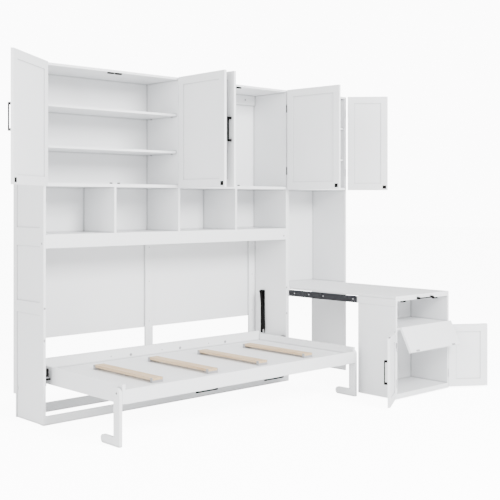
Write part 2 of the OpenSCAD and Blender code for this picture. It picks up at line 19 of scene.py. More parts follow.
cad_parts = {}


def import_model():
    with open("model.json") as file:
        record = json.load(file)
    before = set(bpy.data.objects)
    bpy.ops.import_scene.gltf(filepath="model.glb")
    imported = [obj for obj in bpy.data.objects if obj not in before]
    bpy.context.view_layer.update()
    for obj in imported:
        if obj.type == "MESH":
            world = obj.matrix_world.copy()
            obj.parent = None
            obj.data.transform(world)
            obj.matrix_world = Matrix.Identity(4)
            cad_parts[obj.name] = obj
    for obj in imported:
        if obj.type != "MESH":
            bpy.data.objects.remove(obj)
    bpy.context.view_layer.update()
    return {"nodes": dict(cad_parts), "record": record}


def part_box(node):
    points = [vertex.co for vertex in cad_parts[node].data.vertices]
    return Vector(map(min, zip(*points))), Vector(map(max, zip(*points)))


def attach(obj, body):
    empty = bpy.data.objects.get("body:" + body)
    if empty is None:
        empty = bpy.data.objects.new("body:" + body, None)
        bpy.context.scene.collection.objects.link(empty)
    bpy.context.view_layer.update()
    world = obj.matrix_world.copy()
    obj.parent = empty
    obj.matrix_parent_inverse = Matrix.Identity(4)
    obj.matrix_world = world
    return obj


log = logging.getLogger("wall_bed")

MM = 0.001
Point = tuple[float, float, float]
Colour = tuple[float, float, float]
Span = tuple[float, float]

WHITE = (1.0, 1.0, 1.0, 1.0)
FRONT: Point = (0, -1, 0)
UP: Point = (0, 0, 1)

# Sockets of the Mix node, by number, when it mixes colours.
MIX_FACTOR, MIX_FIRST, MIX_SECOND = 0, 6, 7
MIX_RESULT = 2

# Pointiness of a flat face, and of an edge that wears through fully.
WORN_POINTINESS: Span = (0.5, 0.62)

# Rings of a domed head from its seat up, as shares of its radius and height, and its dimple.
DOME_RINGS = ((1.0, 0.0), (1.0, 0.45), (0.82, 0.85), (0.45, 1.0))
DOME_DIMPLE = 0.45
DOME_STEPS = 20

ROUND_SEGMENTS = 2
SHARP_DEG = 40

# Hinge leaves and strikes are thin plates, sunk a little into what carries them.
LEAF_T = 0.8 * MM
LEAF_SUNK = 0.3 * MM
LEAF_ROUND = 0.2 * MM
STRIKE_SUNK = 0.4 * MM
STRIKE_ROUND = 0.3 * MM

HUTCH_DOORS = range(1, 7)
CHEST_TURNS = (("left", 147), ("right", 144))


class Slot(Enum):
    """The record's material slots that the added pieces take their finish from."""

    BOARD = "white_board"
    BLACK = "black_metal"
    SLIDE = "slide_steel"
    ROD = "rod_steel"
    WOOD = "slat_wood"
    GREY = "grey_plastic"
    WHEEL = "wheel_plastic"


class Side(Enum):
    """Which way along X a face looks."""

    LEFT = -1
    RIGHT = 1

    @property
    def normal(self) -> Point:
        """Give the way that the face looks."""
        return (self.value, 0, 0)

    def face(self, low: Vector, high: Vector) -> float:
        """Give the X of a box's face on this side."""
        return low.x if self is Side.LEFT else high.x


OUTER_SIDES = (("bed_left_side", Side.LEFT), ("bay_right_side", Side.RIGHT))


# ---------------------------------------------------------------- shader groups


def new_group(name: str, inputs: dict[str, float], outputs: Sequence[str]) -> bpy.types.NodeTree:
    """Make an empty shader group with float inputs and outputs.

    Args:
        name: The group's name.
        inputs: Input names and their default values.
        outputs: Output names.

    Returns:
        The new node tree, with its Group Input and Group Output nodes.
    """
    tree = bpy.data.node_groups.new(name, "ShaderNodeTree")
    kind = "NodeSocketFloat"
    for label, value in inputs.items():
        socket = tree.interface.new_socket(name=label, in_out="INPUT", socket_type=kind)
        socket.default_value = value
    for label in outputs:
        tree.interface.new_socket(name=label, in_out="OUTPUT", socket_type=kind)
    tree.nodes.new("NodeGroupInput").name = "in"
    tree.nodes.new("NodeGroupOutput").name = "out"
    return tree


def noise_node(
    tree: bpy.types.NodeTree, scale: bpy.types.NodeSocket, detail: float
) -> bpy.types.NodeSocket:
    """Add a noise texture that reads the object's own coordinates.

    Args:
        tree: The node tree that takes it.
        scale: What gives its scale, in cycles per metre.
        detail: Its detail.

    Returns:
        The socket of its value.
    """
    coords = tree.nodes.new("ShaderNodeTexCoord")
    noise = tree.nodes.new("ShaderNodeTexNoise")
    noise.inputs["Detail"].default_value = detail
    tree.links.new(coords.outputs["Object"], noise.inputs["Vector"])
    tree.links.new(scale, noise.inputs["Scale"])
    return noise.outputs["Fac"]


def product_node(
    tree: bpy.types.NodeTree,
    first: bpy.types.NodeSocket,
    second: bpy.types.NodeSocket,
    clamp: bool = False,
) -> bpy.types.NodeSocket:
    """Multiply two masks.

    Args:
        tree: The node tree that takes the node.
        first: One mask.
        second: The other mask.
        clamp: Whether the result is kept between 0 and 1.

    Returns:
        The socket of the product.
    """
    product = tree.nodes.new("ShaderNodeMath")
    product.operation = "MULTIPLY"
    product.use_clamp = clamp
    tree.links.new(first, product.inputs[0])
    tree.links.new(second, product.inputs[1])
    return product.outputs["Value"]


def range_node(
    tree: bpy.types.NodeTree,
    mask: bpy.types.NodeSocket,
    source: Span = (0.0, 1.0),
    target: Span = (0.0, 1.0),
) -> bpy.types.NodeSocket:
    """Spread a mask from one range to another.

    Args:
        tree: The node tree that takes the node.
        mask: The mask.
        source: The range that it is read over.
        target: The range that it is spread to.

    Returns:
        The socket of the result.
    """
    ramp = tree.nodes.new("ShaderNodeMapRange")
    for label, value in zip(("From Min", "From Max", "To Min", "To Max"), (*source, *target)):
        ramp.inputs[label].default_value = value
    tree.links.new(mask, ramp.inputs["Value"])
    return ramp.outputs["Result"]


def orange_peel_group() -> bpy.types.NodeTree:
    """Build the fine roller texture and the soft mottling of sprayed or rolled paint.

    Returns:
        A group with a Height for a bump and a Mottle mask.
    """
    tree = new_group("orange_peel", {"Fine": 420.0, "Broad": 3.0}, ("Height", "Mottle"))
    group_in = tree.nodes["in"]
    group_out = tree.nodes["out"]
    for source, target, detail in (("Fine", "Height", 2.0), ("Broad", "Mottle", 4.0)):
        noise = noise_node(tree, group_in.outputs[source], detail)
        tree.links.new(noise, group_out.inputs[target])
    return tree


def edge_wear_group() -> bpy.types.NodeTree:
    """Build a patchy mask that is bright on rubbed edges and dark on flat faces.

    Returns:
        A group with a Wear mask.
    """
    tree = new_group("edge_wear", {"Spread": 60.0, "Amount": 0.5}, ("Wear",))
    group_in = tree.nodes["in"]
    geometry = tree.nodes.new("ShaderNodeNewGeometry")
    edges = range_node(tree, geometry.outputs["Pointiness"], WORN_POINTINESS)
    patches = noise_node(tree, group_in.outputs["Spread"], detail=3.0)
    worn = product_node(tree, edges, patches)
    wear = product_node(tree, worn, group_in.outputs["Amount"], clamp=True)
    tree.links.new(wear, tree.nodes["out"].inputs["Wear"])
    return tree


def painted_crevice_shade_group() -> bpy.types.NodeTree:
    """Build a painted-shade mask that is bright in narrow inner corners, where ambient occlusion
    finds shade.

    Returns:
        A group with a Shade mask.
    """
    tree = new_group("painted_crevice_shade", {"Reach": 0.01, "Amount": 0.4}, ("Shade",))
    group_in = tree.nodes["in"]
    hollow = tree.nodes.new("ShaderNodeAmbientOcclusion")
    hollow.samples = 8
    invert = tree.nodes.new("ShaderNodeMath")
    invert.operation = "SUBTRACT"
    invert.inputs[0].default_value = 1.0
    tree.links.new(group_in.outputs["Reach"], hollow.inputs["Distance"])
    tree.links.new(hollow.outputs["AO"], invert.inputs[1])
    amount = group_in.outputs["Amount"]
    shade = product_node(tree, invert.outputs["Value"], amount, clamp=True)
    tree.links.new(shade, tree.nodes["out"].inputs["Shade"])
    return tree


def long_grain_group() -> bpy.types.NodeTree:
    """Build the stretched grain of sawn pine along Y.

    Returns:
        A group with a Grain mask and a Height for a bump.
    """
    tree = new_group("long_grain", {"Across": 90.0, "Along": 3.0}, ("Grain", "Height"))
    group_in = tree.nodes["in"]
    coords = tree.nodes.new("ShaderNodeTexCoord")
    stretch = tree.nodes.new("ShaderNodeVectorMath")
    stretch.operation = "MULTIPLY"
    factors = tree.nodes.new("ShaderNodeCombineXYZ")
    for axis, source in (("X", "Across"), ("Y", "Along"), ("Z", "Across")):
        tree.links.new(group_in.outputs[source], factors.inputs[axis])
    tree.links.new(coords.outputs["Object"], stretch.inputs[0])
    tree.links.new(factors.outputs["Vector"], stretch.inputs[1])
    for scale, detail, target in ((1.0, 6.0, "Grain"), (4.0, 3.0, "Height")):
        noise = tree.nodes.new("ShaderNodeTexNoise")
        noise.inputs["Scale"].default_value = scale
        noise.inputs["Detail"].default_value = detail
        noise.inputs["Distortion"].default_value = 0.6
        tree.links.new(stretch.outputs["Vector"], noise.inputs["Vector"])
        tree.links.new(noise.outputs["Fac"], tree.nodes["out"].inputs[target])
    return tree


@dataclass
class Groups:
    """The shader groups that several materials share."""

    peel: bpy.types.NodeTree = field(default_factory=orange_peel_group)
    wear: bpy.types.NodeTree = field(default_factory=edge_wear_group)
    painted_crevice_shade: bpy.types.NodeTree = field(default_factory=painted_crevice_shade_group)
    grain: bpy.types.NodeTree = field(default_factory=long_grain_group)


# ---------------------------------------------------------------- finishes


def add_group(
    tree: bpy.types.NodeTree, group: bpy.types.NodeTree, values: dict[str, float]
) -> bpy.types.Node:
    """Place a shader group with its own values.

    Args:
        tree: The material's node tree.
        group: The group to place.
        values: Values of its inputs.

    Returns:
        The group node.
    """
    node = tree.nodes.new("ShaderNodeGroup")
    node.node_tree = group
    for label, value in values.items():
        node.inputs[label].default_value = value
    return node


def mix_colour(
    tree: bpy.types.NodeTree,
    factor: bpy.types.NodeSocket,
    first: Colour | bpy.types.NodeSocket,
    second: Colour,
) -> bpy.types.NodeSocket:
    """Mix two colours by a mask.

    Args:
        tree: The material's node tree.
        factor: The mask.
        first: Colour where the mask is 0, or the socket that gives it.
        second: Colour where the mask is 1.

    Returns:
        The mixed colour's socket.
    """
    mix = tree.nodes.new("ShaderNodeMix")
    mix.data_type = "RGBA"
    if isinstance(first, tuple):
        mix.inputs[MIX_FIRST].default_value = (*first, 1.0)
    else:
        tree.links.new(first, mix.inputs[MIX_FIRST])
    mix.inputs[MIX_SECOND].default_value = (*second, 1.0)
    tree.links.new(factor, mix.inputs[MIX_FACTOR])
    return mix.outputs[MIX_RESULT]


def link_bump(
    tree: bpy.types.NodeTree,
    height: bpy.types.NodeSocket,
    strength: float,
    depth_mm: float,
    shader: bpy.types.Node,
) -> None:
    """Raise a fine relief on the surface.

    Args:
        tree: The material's node tree.
        height: The relief.
        strength: The bump's strength.
        depth_mm: The bump's depth, in millimetres.
        shader: The shader that takes it.
    """
    bump = tree.nodes.new("ShaderNodeBump")
    bump.inputs["Strength"].default_value = strength
    bump.inputs["Distance"].default_value = depth_mm * MM
    tree.links.new(height, bump.inputs["Height"])
    tree.links.new(bump.outputs["Normal"], shader.inputs["Normal"])


@dataclass(frozen=True)
class Finish:
    """A satin surface with two tones, mottled roughness, fine bump and rubbed edges.

    Its inner corners get painted shade as well, darker towards the shade colour, where
    shade_amount is above 0.
    """

    name: str
    low: Colour
    high: Colour
    rough: Span
    metallic: float = 0.0
    fine: float = 420.0
    broad: float = 3.0
    bump: float = 0.04
    bump_mm: float = 0.05
    worn: Colour = (0.75, 0.75, 0.74)
    wear: float = 0.15
    wear_spread: float = 60.0
    coat: float = 0.0
    specular: float = 0.5
    # Colour, reach and amount of the painted shade in inner corners.
    shade: Colour = (0.2, 0.2, 0.21)
    shade_reach_mm: float = 14.0
    shade_amount: float = 0.0

    def build(self, groups: Groups) -> bpy.types.Material:
        """Make the material.

        Args:
            groups: The shared shader groups.

        Returns:
            The new material.
        """
        material = bpy.data.materials.new(self.name)
        material.use_nodes = True
        tree = material.node_tree
        shader = tree.nodes["Principled BSDF"]
        shader.inputs["Metallic"].default_value = self.metallic
        shader.inputs["Coat Weight"].default_value = self.coat
        shader.inputs["Specular IOR Level"].default_value = self.specular
        skin = add_group(tree, groups.peel, {"Fine": self.fine, "Broad": self.broad})
        edge = add_group(tree, groups.wear, {"Spread": self.wear_spread, "Amount": self.wear})
        mottle = skin.outputs["Mottle"]
        colour = mix_colour(tree, mottle, self.low, self.high)
        colour = mix_colour(tree, edge.outputs["Wear"], colour, self.worn)
        # Painted shade: an ambient occlusion mask darkens the colour in inner corners.
        if self.shade_amount > 0:
            values = {"Reach": self.shade_reach_mm * MM, "Amount": self.shade_amount}
            painted_crevice_shade = add_group(tree, groups.painted_crevice_shade, values)
            colour = mix_colour(tree, painted_crevice_shade.outputs["Shade"], colour, self.shade)
        tree.links.new(colour, shader.inputs["Base Color"])
        roughness = range_node(tree, mottle, target=self.rough)
        tree.links.new(roughness, shader.inputs["Roughness"])
        link_bump(tree, skin.outputs["Height"], self.bump, self.bump_mm, shader)
        return material


@dataclass(frozen=True)
class PineFinish:
    """Plain sanded pine with a long grain."""

    name: str
    pale: Colour
    dark: Colour
    rough: Span
    across: float = 90.0
    along: float = 3.0
    contrast: Span = (0.35, 0.68)
    bump: float = 0.2
    bump_mm: float = 0.2

    def build(self, groups: Groups) -> bpy.types.Material:
        """Make the material.

        Args:
            groups: The shared shader groups.

        Returns:
            The new material.
        """
        material = bpy.data.materials.new(self.name)
        material.use_nodes = True
        tree = material.node_tree
        shader = tree.nodes["Principled BSDF"]
        grain = add_group(tree, groups.grain, {"Across": self.across, "Along": self.along})
        bands = range_node(tree, grain.outputs["Grain"], self.contrast)
        colour = mix_colour(tree, bands, self.pale, self.dark)
        tree.links.new(colour, shader.inputs["Base Color"])
        roughness = range_node(tree, grain.outputs["Height"], target=self.rough)
        tree.links.new(roughness, shader.inputs["Roughness"])
        link_bump(tree, grain.outputs["Height"], self.bump, self.bump_mm, shader)
        return material


FINISHES: dict[Slot, Finish | PineFinish] = {
    Slot.BOARD: Finish(
        "satin_white_paint", (0.745, 0.755, 0.77), (0.79, 0.797, 0.805), (0.42, 0.5),
        # shade_amount paints shade into the boards' inner corners, so that the framed fields show.
        coat=0.05, shade_amount=1.0,
    ),
    Slot.BLACK: Finish(
        "satin_black_metal", (0.001, 0.001, 0.001), (0.0025, 0.0025, 0.0026), (0.5, 0.62),
        fine=900.0, worn=(0.02, 0.02, 0.02), wear=0.2, specular=0.05,
    ),
    Slot.SLIDE: Finish(
        "dark_zinc_slide", (0.008, 0.009, 0.011), (0.013, 0.014, 0.017), (0.42, 0.55),
        fine=700.0, broad=9.0, worn=(0.05, 0.05, 0.055), wear=0.2, specular=0.2,
    ),
    Slot.ROD: Finish(
        "polished_rod", (0.55, 0.55, 0.57), (0.66, 0.66, 0.68), (0.14, 0.2),
        metallic=1.0, bump=0.02, wear=0.0,
    ),
    Slot.WOOD: PineFinish("sanded_pine", (0.61, 0.46, 0.29), (0.48, 0.32, 0.17), (0.5, 0.66)),
    Slot.GREY: Finish(
        "grey_plastic", (0.24, 0.24, 0.25), (0.3, 0.3, 0.31), (0.45, 0.55), fine=800.0,
    ),
    Slot.WHEEL: Finish(
        "black_wheel_plastic", (0.005, 0.005, 0.005), (0.01, 0.01, 0.01), (0.45, 0.6),
        fine=800.0, worn=(0.03, 0.03, 0.03), specular=0.3,
    ),
}


class Palette:
    """Makes each finish once and hands it out."""

    def __init__(self) -> None:
        """Build every finish."""
        groups = Groups()
        self.materials = {slot: finish.build(groups) for slot, finish in FINISHES.items()}

    def dress(self, obj: bpy.types.Object, slot: Slot) -> None:
        """Give an object one finish.

        Args:
            obj: The object.
            slot: The finish's slot.
        """
        obj.data.materials.clear()
        obj.data.materials.append(self.materials[slot])


# ---------------------------------------------------------------- mesh helpers


class MeshMaker:
    """Collects small forms in one mesh."""

    def __init__(self, name: str) -> None:
        """Start an empty mesh.

        Args:
            name: The piece's name.
        """
        self.name = name
        self.bm = bmesh.new()

    def slab(self, low: Point, high: Point, bevel: float = 0.0) -> None:
        """Add a box, with its edges rounded where a bevel is given.

        Args:
            low: Lowest corner.
            high: Highest corner.
            bevel: Width of the rounded edges.
        """
        size = Vector(high) - Vector(low)
        middle = (Vector(high) + Vector(low)) / 2
        matrix = Matrix.Translation(middle) @ Matrix.Diagonal((*size, 1.0))
        made = bmesh.ops.create_cube(self.bm, size=1.0, matrix=matrix)
        if bevel > 0:
            edges = dict.fromkeys(e for v in made["verts"] for e in v.link_edges)
            bmesh.ops.bevel(
                self.bm,
                geom=list(edges),
                offset=bevel,
                segments=ROUND_SEGMENTS,
                affect="EDGES",
                profile=0.5,
            )

    def screw_head(self, place: Point, normal: Point, radius: float, height: float) -> None:
        """Add a domed screw head or cover cap with a dimple.

        Args:
            place: Middle of its seat.
            normal: The way it looks.
            radius: Its radius.
            height: Its height.
        """
        turn = Vector(UP).rotation_difference(Vector(normal)).to_matrix().to_4x4()
        seat = Matrix.Translation(Vector(place)) @ turn
        angles = [2 * math.pi * i / DOME_STEPS for i in range(DOME_STEPS)]
        loops = []
        for share, up in DOME_RINGS:
            wide = share * radius
            spots = (Vector((wide * math.cos(a), wide * math.sin(a), up * height)) for a in angles)
            loops.append([self.bm.verts.new(seat @ spot) for spot in spots])
        for lower, upper in zip(loops, loops[1:]):
            for i in range(DOME_STEPS):
                j = (i + 1) % DOME_STEPS
                self.bm.faces.new((lower[i], lower[j], upper[j], upper[i]))
        rim = loops[-1]
        dimple = self.bm.verts.new(seat @ Vector((0, 0, height * DOME_DIMPLE)))
        for first, second in zip(rim, rim[1:] + rim[:1]):
            self.bm.faces.new((first, second, dimple))
        self.bm.faces.new(tuple(reversed(loops[0])))

    def move(self, matrix: Matrix) -> None:
        """Move everything made so far.

        Args:
            matrix: The move.
        """
        bmesh.ops.transform(self.bm, matrix=matrix, verts=self.bm.verts)

    def finish(self, body: str, slot: Slot, palette: Palette) -> None:
        """Turn the mesh into a piece that rides on a body.

        Args:
            body: The body's name.
            slot: The finish's slot.
            palette: The finishes.
        """
        bmesh.ops.recalc_face_normals(self.bm, faces=self.bm.faces)
        mesh = bpy.data.meshes.new(self.name)
        self.bm.to_mesh(mesh)
        self.bm.free()
        obj = bpy.data.objects.new(self.name, mesh)
        bpy.context.scene.collection.objects.link(obj)
        palette.dress(obj, slot)
        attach(obj, body)
        log.info("made %s on %s", self.name, body)


def soften(obj: bpy.types.Object, width_mm: float) -> None:
    """Round an object's sharp edges a little, so that they catch the light.

    Args:
        obj: The object.
        width_mm: The rounding's width, in millimetres.
    """
    bevel = obj.modifiers.new("soft_edges", "BEVEL")
    bevel.width = width_mm * MM
    bevel.segments = ROUND_SEGMENTS
    bevel.limit_method = "ANGLE"
    bevel.angle_limit = math.radians(SHARP_DEG)


# ---------------------------------------------------------------- sub-assemblies


@dataclass
class Frame:
    """The loaded frame, with the finish of each node."""

    nodes: dict[str, bpy.types.Object]
    record: dict
    palette: Palette

    def slot_of(self, node: str) -> Slot:
        """Give a node's slot in the record.

        Args:
            node: The node.

        Returns:
            Its slot, or the boards' slot for a node that the record doesn't name.
        """
        for row in self.record["subparts"]:
            if row["node"] == node:
                return Slot(row["material_slot"])
        return Slot.BOARD

    def low(self, node: str) -> Vector:
        """Give a node's lowest corner."""
        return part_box(node)[0]

    def high(self, node: str) -> Vector:
        """Give a node's highest corner."""
        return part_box(node)[1]

    def box(self, node: str) -> tuple[Vector, Vector]:
        """Give a node's lowest and highest corners."""
        return self.low(node), self.high(node)

    def middle_z(self, node: str) -> float:
        """Give the height of a node's middle."""
        return (self.low(node).z + self.high(node).z) / 2

    def joint(self, name: str) -> dict:
        """Give a joint of the record."""
        return next(j for j in self.record["behaviour"]["joints"] if j["name"] == name)


@dataclass
class Boards:
    """Every carried-over node: its finish and its softened edges."""

    frame: Frame
    board_edge_mm: float = 1.0
    framed_edge_mm: float = 3.0
    metal_edge_mm: float = 0.8

    def edge_of(self, name: str, slot: Slot) -> float:
        """Choose the rounding of a node's edges, in millimetres.

        Args:
            name: The node.
            slot: Its finish's slot.

        Returns:
            The rounding: wide on framed doors and sides, fine on other boards and on metal.
        """
        if slot is not Slot.BOARD:
            return self.metal_edge_mm
        framed_door = "door" in name and "shelves" not in name
        framed_side = "side" in name and "deck" not in name
        return self.framed_edge_mm if framed_door or framed_side else self.board_edge_mm

    def build(self) -> None:
        """Give each node its finish and its soft edges."""
        for name, obj in self.frame.nodes.items():
            slot = self.frame.slot_of(name)
            self.frame.palette.dress(obj, slot)
            soften(obj, self.edge_of(name, slot))
            log.info("dressed %s as %s", name, slot.value)


@dataclass
class Cabinet:
    """The fixed cabinet: its cover caps, bolt heads and screws, and the pegs of its shelves."""

    frame: Frame
    cap_r: float = 6.5 * MM
    cap_h: float = 0.8 * MM
    header_cap_in: float = 30 * MM
    side_cap_back_in: float = 55 * MM
    side_cap_z: Span = (0.19, 0.73)
    bolt_r: float = 7.0 * MM
    bolt_in: float = 22 * MM
    edge_bolt_z: Span = (0.531, 0.732)
    screw_r: float = 3.5 * MM
    screw_h: float = 1.2 * MM
    post_screw_in: float = 32 * MM
    post_screw_z: tuple[float, ...] = (0.24, 0.53, 0.82, 1.07)
    wall_screw_r: float = 7 * MM
    wall_screw_h: float = 2.5 * MM
    peg_l: float = 9 * MM
    peg_w: float = 7 * MM
    peg_round: float = 1 * MM
    peg_y: Span = (0.06, 0.31)
    shelf_t: float = 15 * MM
    partition_half: float = 8 * MM

    def header_caps(self) -> None:
        """Put cover caps on the front rail, near its left end and at its middle."""
        maker = MeshMaker("header_cover_caps")
        low, high = self.frame.box("header_rail")
        middle = self.frame.middle_z("header_rail")
        for x in (low.x + self.header_cap_in, (low.x + high.x) / 2):
            maker.screw_head((x, low.y, middle), FRONT, self.cap_r, self.cap_h)
        maker.finish("case", Slot.BOARD, self.frame.palette)

    def side_caps(self) -> None:
        """Put cover caps in rows on the outer faces of both ends."""
        maker = MeshMaker("side_cover_caps")
        for node, side in OUTER_SIDES:
            low, high = self.frame.box(node)
            x = side.face(low, high)
            for y in (low.y + self.bolt_in, high.y - self.side_cap_back_in):
                for z in self.side_cap_z:
                    maker.screw_head((x, y, z), side.normal, self.cap_r, self.cap_h)
        maker.finish("case", Slot.BOARD, self.frame.palette)

    def joint_screws(self) -> None:
        """Put the heads of the knock-down bolts on the ends' faces and front edges, in grey that
        is partly their own colour and partly painted shade.
        """
        maker = MeshMaker("joint_screws")
        shelf = self.frame.middle_z("hutch_door_shelves")
        header = self.frame.middle_z("header_rail")
        for node, side in OUTER_SIDES:
            low, high = self.frame.box(node)
            x, y = side.face(low, high), low.y + self.bolt_in
            for z in (header, shelf):
                maker.screw_head((x, y, z), side.normal, self.bolt_r, self.cap_h)
        for node in ("bed_left_side", "bed_right_side"):
            low, high = self.frame.box(node)
            x = (low.x + high.x) / 2
            for z in self.edge_bolt_z:
                maker.screw_head((x, low.y, z), FRONT, self.bolt_r, self.cap_h)
        low, high = self.frame.box("header_rail")
        place = (high.x - self.bolt_in, low.y, header)
        maker.screw_head(place, FRONT, self.bolt_r, self.cap_h)
        # The grey is partly painted shade, which makes the small heads show.
        maker.finish("case", Slot.GREY, self.frame.palette)

    def post_screws(self) -> None:
        """Put screws down the posts of the bed back."""
        maker = MeshMaker("bed_back_screws")
        low, high = self.frame.box("bed_back_frame")
        inset = self.post_screw_in
        for x in (low.x + inset, (low.x + high.x) / 2, high.x - inset):
            for z in self.post_screw_z:
                maker.screw_head((x, low.y, z), FRONT, self.screw_r, self.screw_h)
        maker.finish("case", Slot.GREY, self.frame.palette)

    def wall_screws(self) -> None:
        """Put the two wall screws in the rail's holes."""
        maker = MeshMaker("wall_screws")
        mount = next(m for m in self.frame.record["mounts"] if m["name"] == "wall_fixings")
        x, _, z = mount["pos_m"]
        half = mount["dims"]["spacing_x_mm"] * MM / 2
        y = self.frame.low("wall_rail").y
        for place in (x - half, x + half):
            maker.screw_head((place, y, z), FRONT, self.wall_screw_r, self.wall_screw_h)
        maker.finish("case", Slot.GREY, self.frame.palette)

    def shelf_pegs(self) -> None:
        """Put pegs under the ends of the shelves behind the doors."""
        maker = MeshMaker("shelf_pegs")
        base_low, base_high = self.frame.box("hutch_base_board")
        bay_low, bay_high = self.frame.box("desk_shelf")
        shelf_low, shelf_high = self.frame.box("upper_shelves")
        partition = (base_low.x + base_high.x) / 2 - self.partition_half
        long, wide = self.peg_l, self.peg_w
        for left, right in ((base_low.x, partition), (bay_low.x, bay_high.x)):
            for y in self.peg_y:
                for z in (shelf_low.z, shelf_high.z - self.shelf_t):
                    for x in (left, right - long):
                        maker.slab((x, y, z - wide), (x + long, y + wide, z), self.peg_round)
        maker.finish("case", Slot.GREY, self.frame.palette)

    def build(self) -> None:
        """Build all of the cabinet's small pieces."""
        self.header_caps()
        self.side_caps()
        self.joint_screws()
        self.post_screws()
        self.wall_screws()
        self.shelf_pegs()


@dataclass
class Door:
    """One framed door: its hinges' leaves on the hinge edge, and the strike on its top edge.

    The pieces are made on a closed, left-hinged door that runs from the origin along +X with its
    face to -Y, and are then turned to where the door stands.
    """

    frame: Frame
    node: str
    hinge: str
    open_deg: float
    leaf_in: float = 145 * MM
    inner_hinge: bool = False
    has_strike: bool = True
    thick: float = 18 * MM
    leaf_w: float = 14 * MM
    leaf_h: float = 60 * MM
    leaf_screw_r: float = 3 * MM
    leaf_screw_h: float = 0.3 * MM
    leaf_screw_shares: tuple[float, ...] = (-0.6, 0.0, 0.6)
    strike_l: float = 44 * MM
    strike_in: float = 10 * MM
    strike_edge: float = 3 * MM
    strike_t: float = 0.8 * MM

    def place(self, maker: MeshMaker) -> None:
        """Turn what was made to where the door stands.

        Args:
            maker: The mesh.
        """
        joint = self.frame.joint(self.hinge)
        right = joint["axis"][2] > 0
        turn = Euler((0, 0, math.radians(-self.open_deg))).to_matrix().to_4x4()
        flip = Matrix.Diagonal((-1.0, 1.0, 1.0, 1.0)) if right else Matrix.Identity(4)
        x, y, _ = joint["pos_m"]
        if self.inner_hinge:
            maker.move(Matrix.Translation((0, -self.thick, 0)))
        maker.move(Matrix.Translation((x, y, self.frame.low(self.node).z)) @ flip @ turn)

    def height(self) -> float:
        """Give the door's height."""
        return self.frame.high(self.node).z - self.frame.low(self.node).z

    def width(self) -> float:
        """Find the door's width.

        Returns:
            The width from its hinge axis to its free edge.
        """
        x, y, _ = self.frame.joint(self.hinge)["pos_m"]
        spots = (v.co for v in self.frame.nodes[self.node].data.vertices)
        reach = max(math.hypot(spot.x - x, spot.y - y) for spot in spots)
        return math.sqrt(reach**2 - self.thick**2)

    def leaves(self) -> None:
        """Build the hinge leaves on the door's hinge edge, with their screws."""
        maker = MeshMaker(self.node + "_hinge_leaves")
        half_w, half_h = self.leaf_w / 2, self.leaf_h / 2
        middle = self.thick / 2
        for z in (self.leaf_in, self.height() - self.leaf_in):
            maker.slab(
                (-LEAF_T, middle - half_w, z - half_h),
                (LEAF_SUNK, middle + half_w, z + half_h),
                LEAF_ROUND,
            )
            for share in self.leaf_screw_shares:
                spot = (-LEAF_T, middle, z + share * half_h)
                maker.screw_head(spot, Side.LEFT.normal, self.leaf_screw_r, self.leaf_screw_h)
        self.place(maker)
        maker.finish(self.node, Slot.ROD, self.frame.palette)

    def top_strike(self) -> None:
        """Build the thin black strike on the door's top edge, by its free corner."""
        maker = MeshMaker(self.node + "_top_strike")
        top = self.height()
        end = self.width() - self.strike_in
        maker.slab(
            (end - self.strike_l, self.strike_edge, top - STRIKE_SUNK),
            (end, self.thick - self.strike_edge, top + self.strike_t),
            STRIKE_ROUND,
        )
        self.place(maker)
        maker.finish(self.node, Slot.BLACK, self.frame.palette)

    def build(self) -> None:
        """Build the door's small hardware."""
        self.leaves()
        if self.has_strike:
            self.top_strike()


@dataclass
class ChestDoor(Door):
    """A door of the chest, which turns about its inner corner. The frame has its strike."""

    leaf_in: float = 104 * MM
    inner_hinge: bool = True
    has_strike: bool = False


